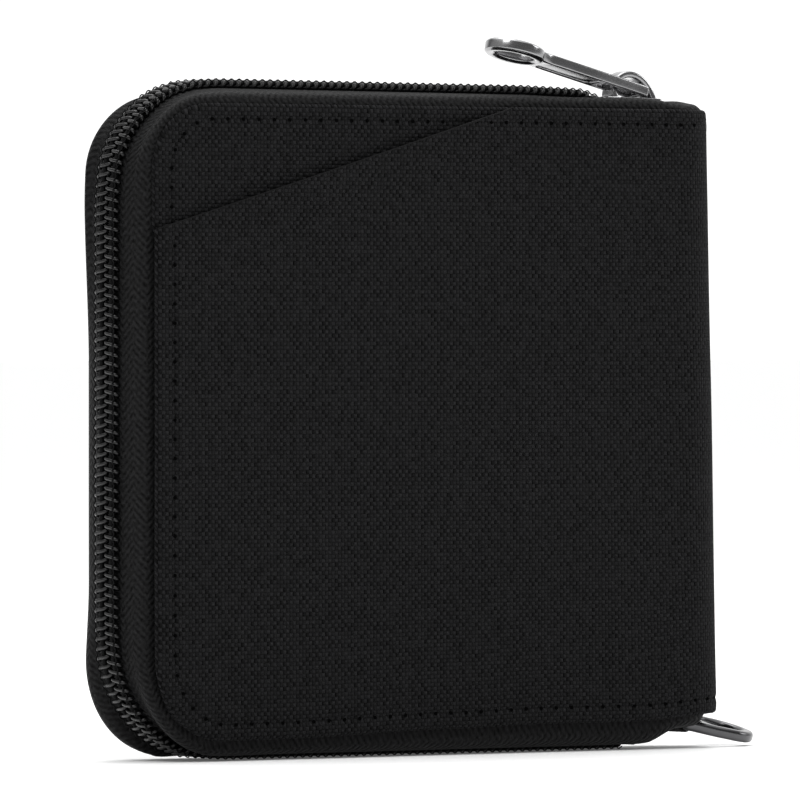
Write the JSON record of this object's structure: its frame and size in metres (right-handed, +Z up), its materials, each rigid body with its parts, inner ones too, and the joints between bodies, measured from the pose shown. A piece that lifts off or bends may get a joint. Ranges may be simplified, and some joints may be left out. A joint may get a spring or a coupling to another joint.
{
  "type": "zip-around wallet pouch",
  "caption": "Small woven-fabric bifold pouch that zips round its open sides, with a slanted outer slip pocket, inner card slots and a metal ring under its spine.",
  "frame": {"origin": "middle of the whole length and depth, on the surface that the pouch stands on", "axes": "+X from the zipped edge to the spine and the ring, +Y from the front cover with the slip pocket to the back cover, +Z up"},
  "size_m": [0.1364, 0.0196, 0.1211],
  "materials": {
    "outer_fabric": "coarse plain-weave black polyester, matt",
    "lining": "fine plain-weave black lining",
    "zip_tape": "black herringbone zip tape",
    "webbing": "narrow black webbing",
    "stiffener": "hidden stiffening board",
    "zip_coil": "black monofilament coil, satin",
    "gunmetal": "polished dark nickel plating on cast zinc"
  },
  "bodies": {
    "back_cover": {"back_outer_panel": "outer_fabric", "back_board": "stiffener", "back_lining": "lining", "card_slot_1": "lining", "card_slot_2": "lining", "card_slot_3": "lining", "card_slot_4": "lining", "back_zip_tape": "zip_tape", "back_coil_row": "zip_coil", "front_coil_end": "zip_coil", "back_top_stop": "zip_coil", "bottom_stop": "zip_coil", "front_top_stop": "zip_coil"},
    "spine": {"spine_panel": "outer_fabric", "spine_lining": "lining", "tape_tail": "zip_tape", "ring_tab": "webbing"},
    "front_cover": {"front_outer_panel": "outer_fabric", "front_pocket_panel": "outer_fabric", "front_board": "stiffener", "front_lining": "lining", "bill_pocket": "lining", "front_zip_tape": "zip_tape", "front_coil_row": "zip_coil"},
    "slider": {"slider_body": "gunmetal", "slider_bail": "gunmetal"},
    "puller": {"puller": "gunmetal"},
    "ring": {"attachment_ring": "gunmetal"}
  },
  "joints": [
    {"name": "spine_fold", "type": "hinge", "parent": "back_cover", "child": "spine", "pos_m": [0.04795, 0.0098, 0.055], "axis": [0, 0, 1], "range_deg": [0, 90]},
    {"name": "cover_fold", "type": "hinge", "parent": "spine", "child": "front_cover", "pos_m": [0.04795, -0.0098, 0.055], "axis": [0, 0, 1], "range_deg": [0, 90]},
    {"name": "slider_travel", "type": "slide", "parent": "back_cover", "child": "slider", "axis": [-0.9995, 0, 0.0318], "range_m": [0, 0.085]},
    {"name": "puller_swing", "type": "hinge", "parent": "slider", "child": "puller", "pos_m": [0.04454, 0, 0.11231], "axis": [0, 1, 0], "range_deg": [0, 140]},
    {"name": "ring_swing", "type": "hinge", "parent": "spine", "child": "ring", "pos_m": [0.05323, 0, 0.00405], "axis": [0, -1, 0], "range_deg": [-80, 10]}
  ]
}
